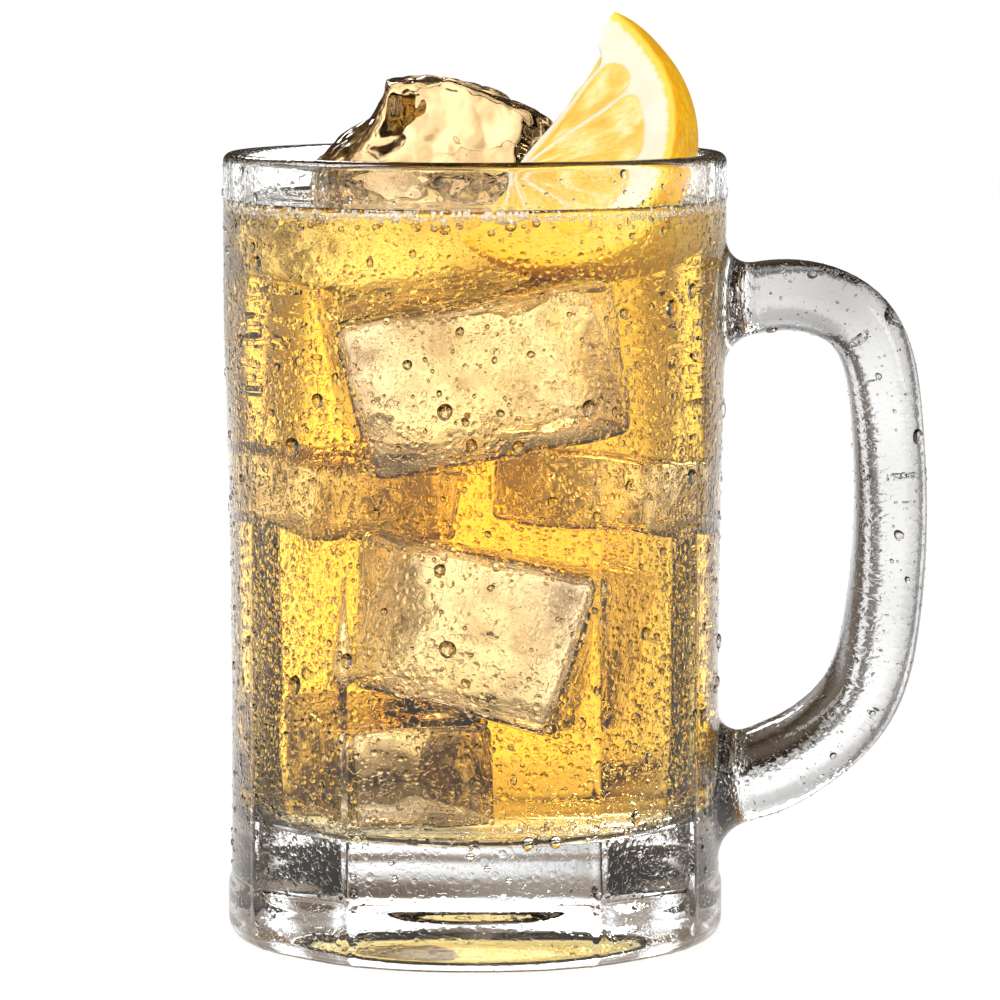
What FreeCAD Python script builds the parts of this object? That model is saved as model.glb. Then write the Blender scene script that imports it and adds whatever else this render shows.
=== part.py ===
"""A whisky highball in a pressed glass mug, with ice and a lemon wedge.

Millimetres. +Z is up, the origin is the centre of the mug's flat underside, the handle points along +X,
and -Y is the front. The mug is one piece of glass: a thick solid base, eight shallow upright panels that
fade out below the mouth, and a loop handle. The drink fills the mug's inside up to its level, and is cut
round the ice cube and the lemon wedge that stand out of it. The ice that lies wholly under the surface,
the bubbles and the condensation are left to the dressing of the model.
"""

import math
import os

import FreeCAD
import Part

Vec = FreeCAD.Vector

# Mug, outside
mug_height = 130.0
rim_radius = 41.5
lip_radius = 1.5
waist_draw = 1.05
waist_height = 38.0
panel_fade_height = 101.0
foot_draw = 0.35
foot_height = 8.6
ledge_height = 2.2
foot_edge_radius = 3.0

# Mug, inside
base_thickness = 19.5
wall_at_rim = 3.2
wall_at_base = 4.8
floor_corner_radius = 7.0

# Panels: their edges, in degrees either way from the front and from the back
front_panel_edge = 29.0
corner_panel_edge = 60.0

# Handle: how far its centreline stands off the wall, where its two arms leave it, and its section
handle_reach = 28.5
handle_top_height = 107.0
handle_bottom_height = 26.0
handle_thickness = 11.7
handle_lower_thickness = 15.6
handle_width = 15.5
handle_squareness = 2.5
handle_root_fillet = 4.8

# Drink, and the gaps that keep the pieces just clear of one another
headspace = 8.5
wet_gap = 0.04
ice_wall_gap = 0.6

# Ice cube that stands out of the drink: a block, one of its upper corners melted away to a slope
ice_length = 33.0
ice_depth = 26.0
ice_height = 34.0
ice_edge_radius = 3.2
ice_turn = 18.0
ice_lean = 13.0
ice_above_drink = 20.3
ice_left_of_lemon = 22.2
ice_behind_lemon = 13.0
ice_slope_in = 10.2
ice_slope_back = 28.0

# Lemon wedge: part of a round lemon, between two cuts that meet along its core
lemon_radius = 22.9
lemon_wedge_angle = 56.0
lemon_cut_depth = 6.0
lemon_core_offset = 1.2
lemon_lean = 32.2
lemon_face_turn = 20.5
lemon_face_nod = 17.0
lemon_wall_gap = 1.3
lemon_bearing = 6.1
lemon_centre_above_rim = 1.45


# The waist and the foot are drawn in from the mouth's radius.
waist_radius = rim_radius - waist_draw
foot_radius = rim_radius - foot_draw


def closed_face(edges):
    """The flat face inside a closed run of edges."""
    return Part.Face(Part.Wire(edges))


def line(a, b):
    return Part.LineSegment(a, b).toShape()


def arc(a, middle, b):
    return Part.Arc(a, middle, b).toShape()


def quarter_arc(centre, radius, from_deg, to_deg):
    """A quarter round in the XZ plane, as an edge."""

    def at(deg):
        turn = math.radians(deg)
        return centre + Vec(radius * math.cos(turn), 0, radius * math.sin(turn))

    return arc(at(from_deg), at((from_deg + to_deg) / 2), at(to_deg))


def wall_bow():
    """The radius of the long upright arc that takes the wall from the waist out to the mouth."""
    rise = panel_fade_height - waist_height
    swell = rim_radius - waist_radius
    return (rise * rise + swell * swell) / (2 * swell)


def wall_radius(height):
    """The distance of a panel's middle from the mug's axis."""
    bow = wall_bow()
    return waist_radius + bow - math.sqrt(bow * bow - (height - waist_height) ** 2)


def outer_solid(spread):
    """A round solid with the mug's outer profile, its radius larger by spread all the way up."""
    base = foot_radius + spread
    ledge_top = foot_height + ledge_height
    middle = (ledge_top + mug_height) / 2
    corner = Vec(base - foot_edge_radius, 0, foot_edge_radius)
    foot_start = Vec(base - foot_edge_radius, 0, 0)
    foot_side = Vec(base, 0, foot_edge_radius)
    foot_top = Vec(base, 0, foot_height)
    wall_start = Vec(wall_radius(ledge_top) + spread, 0, ledge_top)
    wall_middle = Vec(wall_radius(middle) + spread, 0, middle)
    wall_end = Vec(wall_radius(mug_height) + spread, 0, mug_height)
    edges = [
        line(Vec(0, 0, 0), foot_start),
        quarter_arc(corner, foot_edge_radius, -90, 0),
        line(foot_side, foot_top),
        line(foot_top, wall_start),
        arc(wall_start, wall_middle, wall_end),
        line(wall_end, Vec(0, 0, mug_height)),
        line(Vec(0, 0, mug_height), Vec(0, 0, 0)),
    ]
    return closed_face(edges).revolve(Vec(0, 0, 0), Vec(0, 0, 1), 360)


def round_blank():
    """The turned blank that the panels are pressed into: straight sided, with a rounded lip."""
    edge = foot_edge_radius
    foot = Vec(rim_radius - edge, 0, edge)
    lip = Vec(rim_radius - lip_radius, 0, mug_height - lip_radius)
    edges = [
        line(Vec(0, 0, 0), Vec(rim_radius - edge, 0, 0)),
        quarter_arc(foot, edge, -90, 0),
        line(Vec(rim_radius, 0, edge), Vec(rim_radius, 0, mug_height - lip_radius)),
        quarter_arc(lip, lip_radius, 0, 90),
        line(Vec(rim_radius - lip_radius, 0, mug_height), Vec(0, 0, mug_height)),
        line(Vec(0, 0, mug_height), Vec(0, 0, 0)),
    ]
    return closed_face(edges).revolve(Vec(0, 0, 0), Vec(0, 0, 1), 360)


def panel_layout():
    """(direction, half width) of each panel, in degrees from the front, going round the mug."""
    front_half = front_panel_edge
    corner_half = (corner_panel_edge - front_panel_edge) / 2
    corner_middle = front_panel_edge + corner_half
    side_half = 90 - corner_panel_edge
    return [
        (0, front_half),
        (corner_middle, corner_half),
        (90, side_half),
        (180 - corner_middle, corner_half),
        (180, front_half),
        (180 + corner_middle, corner_half),
        (270, side_half),
        (360 - corner_middle, corner_half),
    ]


def panel_solid(direction, half_width):
    """A solid that is wider across than the mug, so that its side flattens the mug over one panel."""
    half = math.radians(half_width)
    chord = rim_radius * math.sin(half)
    bulge = waist_radius - rim_radius * math.cos(half)
    curve = (chord * chord + bulge * bulge) / (2 * bulge)
    set_back = curve - waist_radius
    solid = outer_solid(set_back)
    turn = math.radians(direction)
    outward = Vec(math.sin(turn), -math.cos(turn), 0)
    solid.translate(outward * -set_back)
    return solid


def handle_path():
    """The handle's centreline, as a smooth curve in the XZ plane from its upper root to its lower one."""
    top = handle_top_height
    drop = handle_top_height - handle_bottom_height
    wall = waist_radius
    stations = [
        (-0.14, 0.024),
        (0.10, 0.020),
        (0.36, 0.008),
        (0.79, 0.058),
        (0.975, 0.26),
        (1.00, 0.47),
        (0.96, 0.66),
        (0.81, 0.843),
        (0.51, 0.944),
        (0.16, 1.0),
        (-0.14, 1.02),
    ]
    points = [Vec(wall + out * handle_reach, 0, top - down * drop) for out, down in stations]
    curve = Part.BSplineCurve()
    curve.interpolate(points)
    return curve


def handle_section(place, along, thickness, width):
    """A closed rounded section across the handle, flatter than an ellipse on its four sides."""
    sideways = Vec(0, 1, 0)
    across = along.cross(sideways).normalize()
    count = 16
    points = []
    for i in range(count):
        turn = 2 * math.pi * i / count
        reach = [
            math.copysign(abs(v) ** (2 / handle_squareness), v)
            for v in (math.cos(turn), math.sin(turn))
        ]
        points.append(place + across * (reach[0] * thickness / 2) + sideways * (reach[1] * width / 2))
    curve = Part.BSplineCurve()
    curve.interpolate(points, PeriodicFlag=True)
    return Part.Wire(curve.toShape())


def handle_solid():
    """The loop handle, thicker towards its lower root. Its two ends lie inside the mug's wall."""
    path = handle_path()
    first, last = path.FirstParameter, path.LastParameter
    count = 19
    wires = []
    for i in range(count):
        share = i / (count - 1)
        at = first + (last - first) * share
        tangent = Vec(*path.tangent(at)[0])
        swell = share ** 3
        thickness = handle_thickness + (handle_lower_thickness - handle_thickness) * swell
        wires.append(handle_section(path.value(at), tangent, thickness, handle_width))
    return Part.makeLoft(wires, True, False)


def inner_radius(height):
    """The radius of the mug's inside at a height above its floor's corner."""
    at_floor = waist_radius - wall_at_base
    at_rim = rim_radius - wall_at_rim
    share = (height - base_thickness) / (mug_height - base_thickness)
    return at_floor + (at_rim - at_floor) * share


def inside_solid(top, gap):
    """What fills the mug's inside from its floor up to a height, held off the glass by a gap."""
    floor = base_thickness + gap
    corner = floor_corner_radius
    bottom_radius = inner_radius(floor + corner) - gap
    centre = Vec(bottom_radius - corner, 0, floor + corner)
    top_radius = inner_radius(top) - gap
    edges = [
        line(Vec(0, 0, floor), Vec(bottom_radius - corner, 0, floor)),
        quarter_arc(centre, corner, -90, 0),
        line(Vec(bottom_radius, 0, floor + corner), Vec(top_radius, 0, top)),
        line(Vec(top_radius, 0, top), Vec(0, 0, top)),
        line(Vec(0, 0, top), Vec(0, 0, floor)),
    ]
    return closed_face(edges).revolve(Vec(0, 0, 0), Vec(0, 0, 1), 360)


def lip_flare():
    """The ring that rounds the mouth's inner edge, as a solid to take away."""
    low = mug_height - lip_radius
    inner = inner_radius(low)
    outer = inner + lip_radius
    centre = Vec(outer, 0, low)
    edges = [
        line(Vec(0, 0, low), Vec(inner, 0, low)),
        quarter_arc(centre, lip_radius, 180, 90),
        line(Vec(outer, 0, mug_height), Vec(outer, 0, mug_height + 1)),
        line(Vec(outer, 0, mug_height + 1), Vec(0, 0, mug_height + 1)),
        line(Vec(0, 0, mug_height + 1), Vec(0, 0, low)),
    ]
    return closed_face(edges).revolve(Vec(0, 0, 0), Vec(0, 0, 1), 360)


def root_edges(shape, handle):
    """The edges where the handle meets the wall: they lie on the handle, and not in the XZ plane's middle."""
    found = []
    for edge in shape.Edges:
        box = edge.BoundBox
        near_wall = box.XMin > waist_radius - 8 and box.XMax < rim_radius + 1.5
        as_wide = box.YLength > 1.0 and box.YMax < handle_width and box.YMin > -handle_width
        on_handle = all(
            handle.distToShape(Part.Vertex(edge.valueAt(p)))[0] < 0.02
            for p in (edge.FirstParameter, (edge.FirstParameter + edge.LastParameter) / 2)
        )
        if near_wall and as_wide and on_handle:
            found.append(edge)
    return found


def mug():
    """The glass: blank, panels, handle, root fillets, then the inside taken out."""
    body = round_blank()
    for direction, half_width in panel_layout():
        body = body.common(panel_solid(direction, half_width))
    handle = handle_solid()
    whole = body.fuse(handle).removeSplitter()
    edges = root_edges(whole, handle)
    print("root edges", len(edges))
    whole = whole.makeFillet(handle_root_fillet, edges)
    whole = whole.cut(inside_solid(mug_height + 1, 0.0))
    return whole.cut(lip_flare())


def drink_level():
    return mug_height - headspace


def ice_cube():
    """A block with melted edges and one corner melted to a slope, its top edge well clear of the drink."""
    corner = Vec(-ice_length / 2, -ice_depth / 2, -ice_height / 2)
    block = Part.makeBox(ice_length, ice_depth, ice_height, corner)
    block.rotate(Vec(0, 0, 0), Vec(0, 0, 1), ice_turn)
    block.rotate(Vec(0, 0, 0), Vec(0, 1, 0), ice_lean)
    # The slope runs down from the upper edge at 45 degrees, to the left and to the back.
    back = math.radians(ice_slope_back)
    slope = Vec(-math.cos(back), math.sin(back) * math.sqrt(2), math.cos(back)).normalize()
    top_corner = max((v.Point.dot(slope) for v in block.Vertexes))
    reach = 4 * ice_length
    waste = Part.makeBox(reach, reach, reach, Vec(-reach / 2, -reach / 2, 0))
    waste.Placement = FreeCAD.Placement(
        slope * (top_corner - ice_slope_in), FreeCAD.Rotation(Vec(0, 0, 1), slope)
    )
    block = block.cut(waste)
    block = block.makeFillet(ice_edge_radius, block.Edges)
    lift = drink_level() + ice_above_drink - top_of(block)
    lemon = lemon_centre()
    block.translate(Vec(lemon.x - ice_left_of_lemon, lemon.y + ice_behind_lemon, lift))
    return block.common(inside_solid(mug_height + 1, ice_wall_gap).fuse(above_rim()))


def above_rim():
    """The space over the mug's mouth."""
    reach = 4 * rim_radius
    return Part.makeBox(reach, reach, reach, Vec(-reach / 2, -reach / 2, mug_height))


def top_of(shape):
    """The height of a shape's highest point, measured on a fine mesh of it."""
    points, _ = shape.tessellate(0.05)
    return max(p.z for p in points)


def lemon_centre():
    """The middle of the round lemon that the wedge is part of: its rind stands just off the mug's wall."""
    out = inner_radius(mug_height) - lemon_wall_gap - lemon_radius
    bearing = math.radians(lemon_bearing)
    return Vec(out * math.cos(bearing), out * math.sin(bearing), mug_height + lemon_centre_above_rim)


def lemon_wedge():
    """A round lemon's wedge, leaning on the mug's inner wall with one cut face to the front."""
    # In its own frame the core runs along Z, the front cut lies in the XZ plane and the rind is on +X.
    reach = 4 * lemon_radius
    turn = math.radians(lemon_wedge_angle)
    corners = [
        Vec(0, 0, -reach),
        Vec(reach, 0, -reach),
        Vec(reach * math.cos(turn), reach * math.sin(turn), -reach),
        Vec(0, 0, -reach),
    ]
    between_cuts = Part.Face(Part.makePolygon(corners)).extrude(Vec(0, 0, 2 * reach))
    round_centre = Vec(lemon_core_offset, lemon_cut_depth, -lemon_core_offset)
    whole = Part.makeSphere(lemon_radius, round_centre)
    wedge = whole.common(between_cuts)
    wedge.translate(round_centre * -1)
    wedge.rotate(Vec(0, 0, 0), Vec(0, 1, 0), lemon_lean)
    wedge.rotate(Vec(0, 0, 0), Vec(1, 0, 0), -lemon_face_nod)
    wedge.rotate(Vec(0, 0, 0), Vec(0, 0, 1), -lemon_face_turn)
    wedge.translate(lemon_centre())
    return wedge


def drink(ice, lemon):
    """The drink up to its level, with the shapes of the ice and the lemon taken out of it."""
    body = inside_solid(drink_level(), wet_gap)
    return body.cut(ice).cut(lemon)


def report(name, shape):
    box = shape.optimalBoundingBox(True, False)
    sides = [box.XMin, box.XMax, box.YMin, box.YMax, box.ZMin, box.ZMax]
    print(name, shape.isValid(), "solids", len(shape.Solids), "volume", round(shape.Volume, 1))
    print("   box", [round(v, 2) for v in sides])


if __name__ == "__main__":
    os.makedirs("parts", exist_ok=True)
    glass = mug()
    ice = ice_cube()
    lemon = lemon_wedge()
    liquid = drink(ice, lemon)
    pieces = {"mug": glass, "drink": liquid, "ice_top": ice, "lemon_wedge": lemon}
    for name, shape in pieces.items():
        report(name, shape)
        shape.exportStep("parts/" + name + ".step")
    names = list(pieces)
    for i, first in enumerate(names):
        for second in names[i + 1:]:
            gap = pieces[first].distToShape(pieces[second])[0]
            overlap = pieces[first].common(pieces[second]).Volume
            print(first, second, "gap", round(gap, 3), "overlap", round(overlap, 3))
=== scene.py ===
"""The dressing of a whisky highball in a handled glass mug: glass, drink, ice, lemon, bubbles and dew."""

import math
from itertools import product

import bmesh
import bpy
import numpy as np
from mathutils import Matrix, Vector
from mathutils.bvhtree import BVHTree


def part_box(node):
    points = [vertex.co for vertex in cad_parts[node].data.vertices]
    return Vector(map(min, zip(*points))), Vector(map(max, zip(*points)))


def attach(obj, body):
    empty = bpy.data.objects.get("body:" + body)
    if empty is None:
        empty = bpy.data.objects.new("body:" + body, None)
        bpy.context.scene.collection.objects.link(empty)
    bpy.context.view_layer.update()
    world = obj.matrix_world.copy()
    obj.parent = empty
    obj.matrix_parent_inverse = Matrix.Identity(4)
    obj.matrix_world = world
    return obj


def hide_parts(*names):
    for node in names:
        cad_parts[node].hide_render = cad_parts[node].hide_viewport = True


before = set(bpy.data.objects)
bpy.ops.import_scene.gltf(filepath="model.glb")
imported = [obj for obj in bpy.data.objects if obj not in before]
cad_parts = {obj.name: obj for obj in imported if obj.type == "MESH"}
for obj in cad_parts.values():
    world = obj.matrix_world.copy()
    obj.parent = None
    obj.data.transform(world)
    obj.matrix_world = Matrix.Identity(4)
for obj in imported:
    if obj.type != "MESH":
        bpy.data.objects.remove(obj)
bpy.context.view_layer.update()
MM = 0.001

# -------- sizes, in millimetres, as in the CAD
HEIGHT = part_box("mug")[1].z / MM
MOUTH = -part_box("mug")[0].x / MM
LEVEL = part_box("drink")[1].z / MM
LIP = 1.5
LIP_Z = HEIGHT - LIP
WAIST, WAIST_Z = MOUTH - 1.05, 38.0
FADE_Z = 101.0  # the panels have run out into the round wall here
FOOT, FOOT_TOP, FOOT_EDGE = MOUTH - 0.35, 8.6, 3.0
LEDGE = 2.2
FLOOR_Z, FLOOR_CORNER = 19.5, 7.0
CORNER_Z = FLOOR_Z + FLOOR_CORNER
WALL_RIM, WALL_BASE = 3.2, 4.8
FRONT_EDGE, CORNER_EDGE = 29.0, 60.0  # where the panels end, in degrees from the front
CORNER_AT, CORNER_HALF = (FRONT_EDGE + CORNER_EDGE) / 2, (CORNER_EDGE - FRONT_EDGE) / 2
# each panel's direction and half its width, in degrees
PANELS = [
    (side + at, half)
    for side in (0, 180)
    for at, half in (
        (0, FRONT_EDGE), (CORNER_AT, CORNER_HALF), (90, 90 - CORNER_EDGE), (180 - CORNER_AT, CORNER_HALF)
    )
]
# only in the scene: blends and raised edges between panels, a hollow underside, waves inside the wall
CREASE = 0.07
ARRIS, ARRIS_DEGREES = 0.32, 0.95
PUNT, PUNT_R = 5.0, 33.5
WAVE_LONG, WAVE_HIGH, WAVE_SEED = 11.0, 0.34, 3
LATHE = 352  # points on each ring of the glass
TURNS = np.linspace(0, 2 * math.pi, LATHE, endpoint=False)


# -------- small helpers
def smoothstep(a, b, x):
    t = np.clip((x - a) / (b - a), 0.0, 1.0)
    return t * t * (3 - 2 * t)


def value_noise(p, scale, seed, cells=32):
    """Smooth random values from 0 to 1 at the points p (n, 3), varying over about `scale`."""
    table = np.random.default_rng(seed).random((cells, cells, cells))
    q = np.asarray(p, float) / scale
    i = np.floor(q).astype(int)
    f = q - i
    f = f * f * (3 - 2 * f)
    out = 0
    for corner in product((0, 1), repeat=3):
        w = np.where(corner, f, 1 - f)
        at = (i + corner) % cells
        out = out + w[:, 0] * w[:, 1] * w[:, 2] * table[at[:, 0], at[:, 1], at[:, 2]]
    return out


def relief(points, waves):
    """How far to push points out: the sum of noises (length, seed, middle, height, shift of the place)."""
    out = 0
    for length, seed, middle, height, shift in waves:
        out = out + (value_noise(points + shift, length, seed) - middle) * height
    return out


def new_object(name, mesh):
    obj = bpy.data.objects.new(name, mesh)
    bpy.context.scene.collection.objects.link(obj)
    return obj


def shade_smooth(me):
    me.polygons.foreach_set("use_smooth", np.ones(len(me.polygons), bool))
    me.update()
    return me


def mesh_from(name, verts, faces):
    """A smooth mesh from millimetre points and its faces."""
    me = bpy.data.meshes.new(name)
    me.from_pydata((np.asarray(verts, float) * MM).tolist(), [], faces)
    return shade_smooth(me)


def mesh_of(bm, name):
    me = bpy.data.meshes.new(name)
    bm.to_mesh(me)
    bm.free()
    return shade_smooth(me)


def points_of(me):
    v = np.zeros(len(me.vertices) * 3)
    me.vertices.foreach_get("co", v)
    return v.reshape(-1, 3) / MM


def faces_of(me):
    return [tuple(p.vertices) for p in me.polygons]


def normals_of(me):
    n = np.zeros(len(me.vertices) * 3)
    me.vertex_normals.foreach_get("vector", n)
    return n.reshape(-1, 3)


def move_points(me, v):
    me.vertices.foreach_set("co", (v * MM).ravel())
    me.update()
    return me


def baked(obj):
    """The object's mesh with its modifiers worked in; the object itself goes."""
    deps = bpy.context.evaluated_depsgraph_get()
    me = bpy.data.meshes.new_from_object(obj.evaluated_get(deps))
    bpy.data.objects.remove(obj)
    return me


def remeshed(node, voxel, passes):
    """A CAD solid's own shape as a fine and even mesh, smoothed a little."""
    obj = new_object("fine_" + node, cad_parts[node].data.copy())
    fine = obj.modifiers.new("fine", "REMESH")
    fine.mode, fine.voxel_size, fine.use_smooth_shade = "VOXEL", voxel * MM, True
    soft = obj.modifiers.new("soft", "SMOOTH")
    soft.factor, soft.iterations = 0.5, passes
    return baked(obj)


def arc(start, stop, count):
    """Cosine and sine of evenly spaced angles, which are given in degrees."""
    return [(math.cos(a), math.sin(a)) for a in map(math.radians, np.linspace(start, stop, count))]


def around(turn, r, z):
    """Points on a ring; the angle starts at the front, -Y, and runs towards +X."""
    return np.stack([r * np.sin(turn), -r * np.cos(turn), np.broadcast_to(z, turn.shape)], -1)


def on_ring(r, t, z):
    """One point, by the same rule."""
    return r * math.sin(t), -r * math.cos(t), z


def lathe(rings, first, last):
    """Points and faces of a closed shape: its rings, and the point that closes each end."""
    count = len(rings[0])
    pairs = [(j, (j + 1) % count) for j in range(count)]
    end = (len(rings) - 1) * count
    faces = [(a + j, a + k, a + count + k, a + count + j) for a in range(0, end, count) for j, k in pairs]
    verts = np.concatenate(rings + [[first, last]])
    n = len(verts)
    faces += [(k, j, n - 2) for j, k in pairs]
    faces += [(end + j, end + k, n - 1) for j, k in pairs]
    return verts, faces


def add_shell(verts, faces, points, shape, flip=False):
    """Adds a closed shape's points and faces to two lists, turned inside out where flip is set."""
    base = len(verts)
    verts.extend(points.tolist())
    faces.extend([tuple(base + i for i in (q[::-1] if flip else q)) for q in shape])


def apart(p, r, others, share=1.0, gap=0.0):
    """Whether a ball keeps clear of the others (x, y, z, r); with a share under 1 they may overlap."""
    return all(
        (p[0] - q[0]) ** 2 + (p[1] - q[1]) ** 2 + (p[2] - q[2]) ** 2 > (share * (r + q[3]) + gap) ** 2
        for q in others
    )


# -------- the mug's wall, as a formula
def wall_profile(z):
    rise, swell = FADE_Z - WAIST_Z, MOUTH - WAIST
    bow = (rise * rise + swell * swell) / (2 * swell)
    z = np.asarray(z, float)
    wall = WAIST + bow - np.sqrt(np.maximum(bow * bow - (z - WAIST_Z) ** 2, 0))
    t = smoothstep(FOOT_TOP - 0.3, FOOT_TOP + LEDGE, z)
    return FOOT * (1 - t) + wall * t


def outer_radius(turn, z):
    """The outside radius at an angle from the front (towards +X), in radians, and a height."""
    turn, z = np.broadcast_arrays(np.asarray(turn, float), np.asarray(z, float))
    prof = wall_profile(z)
    found = [np.full(turn.shape, MOUTH)]
    for direction, half in PANELS:
        h = math.radians(half)
        chord = MOUTH * math.sin(h)
        bulge = WAIST - MOUTH * math.cos(h)
        curve = (chord * chord + bulge * bulge) / (2 * bulge)
        back = curve - WAIST
        d = turn - math.radians(direction)
        found.append(-back * np.cos(d) + np.sqrt((prof + back) ** 2 - (back * np.sin(d)) ** 2))
    r = np.stack(found)
    low = r.min(0)
    low = low - CREASE * np.log(np.exp(-(r - low) / CREASE).sum(0))
    # a fine raised arris runs up each panel's edge and fades out with the panels
    fade = smoothstep(FADE_Z - 8, FADE_Z - 45, z) * smoothstep(0.5, 4.0, z)
    for direction, half in PANELS:
        d = np.degrees(np.angle(np.exp(1j * (turn - math.radians(direction + half)))))
        low = low + ARRIS * fade * np.exp(-((d / ARRIS_DEGREES) ** 2))
    return low


def wall_x(y, z):
    """Where the wall on the handle's side is, for points given by y and z."""
    r = np.full(np.shape(y), MOUTH)
    for _ in range(4):
        turn = math.pi / 2 + np.arcsin(np.clip(y / r, -1, 1))
        r = outer_radius(turn, z)
    return np.sqrt(r * r - y * y)


def inner_radius(z):
    low, top = WAIST - WALL_BASE, MOUTH - WALL_RIM
    return low + (top - low) * (np.asarray(z, float) - FLOOR_Z) / (HEIGHT - FLOOR_Z)


def waved(points):
    """Pressed glass is never quite even: slow waves on the inner wall, which the drink follows."""
    r = np.linalg.norm(points[:, :2], axis=1)
    wave = (value_noise(points * [1, 1, 0.6], WAVE_LONG, WAVE_SEED) - 0.5) * WAVE_HIGH
    wave *= smoothstep(HEIGHT - 3, HEIGHT - 12, points[:, 2]) * smoothstep(5, 25, r)
    points = points.copy()
    points[:, :2] += points[:, :2] / np.maximum(r, 1e-6)[:, None] * wave[:, None]
    return points


# -------- the handle
HANDLE_REACH = 28.5
HANDLE_TOP, HANDLE_BOTTOM = 107.0, 26.0
HANDLE_THICK, HANDLE_LOW_THICK, HANDLE_WIDE = 11.7, 15.6, 15.5
HANDLE_SQUARE = 2.5  # 2 is an ellipse, more is squarer
HANDLE_FILLET = 4.8
HANDLE_AROUND = 64
# how far out and how far down its middle line is, as shares of the reach and the drop
HANDLE_STATIONS = [
    (-0.14, 0.024), (0.10, 0.020), (0.36, 0.008), (0.79, 0.058), (0.975, 0.26), (1.00, 0.47),
    (0.96, 0.66), (0.81, 0.843), (0.51, 0.944), (0.16, 1.0), (-0.14, 1.02),
]
# where the rings stand: close together at the roots, then a ring each step
ROOT_RINGS = np.array([0, 0.12, 0.35, 0.7, 1.15, 1.7, 2.35, 3.1, 3.9, 4.8, 6.0, 7.4, 8.9])
RING_STEP = 1.45
END_SAMPLES = 60  # the curve leaves the wall within so many samples of its ends


def spline_through(points, samples=400):
    """A smooth curve through the points: a natural cubic spline over the chord length."""
    p = np.asarray(points, float)
    t = np.r_[0, np.cumsum(np.linalg.norm(np.diff(p, axis=0), axis=1))]
    n = len(p)
    h = np.diff(t)
    a = np.zeros((n, n))
    rhs = np.zeros((n, 2))
    a[0, 0] = a[-1, -1] = 1
    for i in range(1, n - 1):
        a[i, i - 1], a[i, i], a[i, i + 1] = h[i - 1], 2 * (h[i - 1] + h[i]), h[i]
        rhs[i] = 6 * ((p[i + 1] - p[i]) / h[i] - (p[i] - p[i - 1]) / h[i - 1])
    m = np.linalg.solve(a, rhs)
    s = np.linspace(0, t[-1], samples)
    k = np.clip(np.searchsorted(t, s, side="right") - 1, 0, n - 2)
    u, v = (t[k + 1] - s)[:, None], (s - t[k])[:, None]
    hk = h[k][:, None]
    bend = (m[k] * u**3 + m[k + 1] * v**3) / (6 * hk)
    return s, bend + (p[k] / hk - m[k] * hk / 6) * u + (p[k + 1] / hk - m[k + 1] * hk / 6) * v


def handle_rings():
    drop = HANDLE_TOP - HANDLE_BOTTOM
    s, pos = spline_through(
        [(WAIST + o * HANDLE_REACH, HANDLE_TOP - d * drop) for o, d in HANDLE_STATIONS]
    )

    def middle(at):
        return np.array([np.interp(at, s, pos[:, i]) for i in (0, 1)])

    out = pos[:, 0] - wall_x(np.zeros(len(pos)), pos[:, 1])
    first = np.interp(0, out[:END_SAMPLES], s[:END_SAMPLES])
    last = np.interp(0, out[::-1][:END_SAMPLES], s[::-1][:END_SAMPLES])
    span = last - first
    root = ROOT_RINGS[-1]
    between = np.arange(root + 1.4, span - root - 1.0, RING_STEP)
    along = np.r_[ROOT_RINGS, between, (span - ROOT_RINGS)[::-1]] + first
    phi = np.linspace(0, 2 * math.pi, HANDLE_AROUND, endpoint=False)
    e = 2 / HANDLE_SQUARE
    cs = np.sign(np.cos(phi)) * np.abs(np.cos(phi)) ** e
    sn = np.sign(np.sin(phi)) * np.abs(np.sin(phi)) ** e
    rings = []
    for at in along:
        c = middle(at)
        ahead = middle(at + 0.2) - middle(at - 0.2)
        tangent = ahead / np.linalg.norm(ahead)
        across = np.array([-tangent[1], tangent[0]])
        end = min(at - first, last - at)
        # near a root the ring turns upright, to meet the wall
        upright = np.array([0.0, 1.0 if across[1] > 0 else -1.0])
        w = 1 - smoothstep(3.5, 15.0, end)
        slope = abs(across[1])
        across = across * (1 - w) + upright * w
        across /= np.linalg.norm(across)
        stretch = 1 + (1 / max(slope, 0.8) - 1) * w
        thick = HANDLE_THICK + (HANDLE_LOW_THICK - HANDLE_THICK) * (at / s[-1]) ** 3
        flare = HANDLE_FILLET - math.sqrt(max(HANDLE_FILLET**2 - max(HANDLE_FILLET - end, 0) ** 2, 0))
        y = (HANDLE_WIDE / 2 + flare) * sn
        off = (thick / 2 * stretch + flare) * cs
        z = c[1] + across[1] * off
        if end < 1e-6:
            x = wall_x(y, z)
        else:
            warp = 1 - smoothstep(0.0, 12.0, end)
            x = c[0] + across[0] * off + warp * (wall_x(y, z) - wall_x(np.zeros(1), np.array([c[1]])))
        rings.append(np.stack([x, y, z], -1))
    return rings


# -------- the mug
ROOT_ROOM = 0.75  # how far the hole in the wall stands clear of a root


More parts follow.
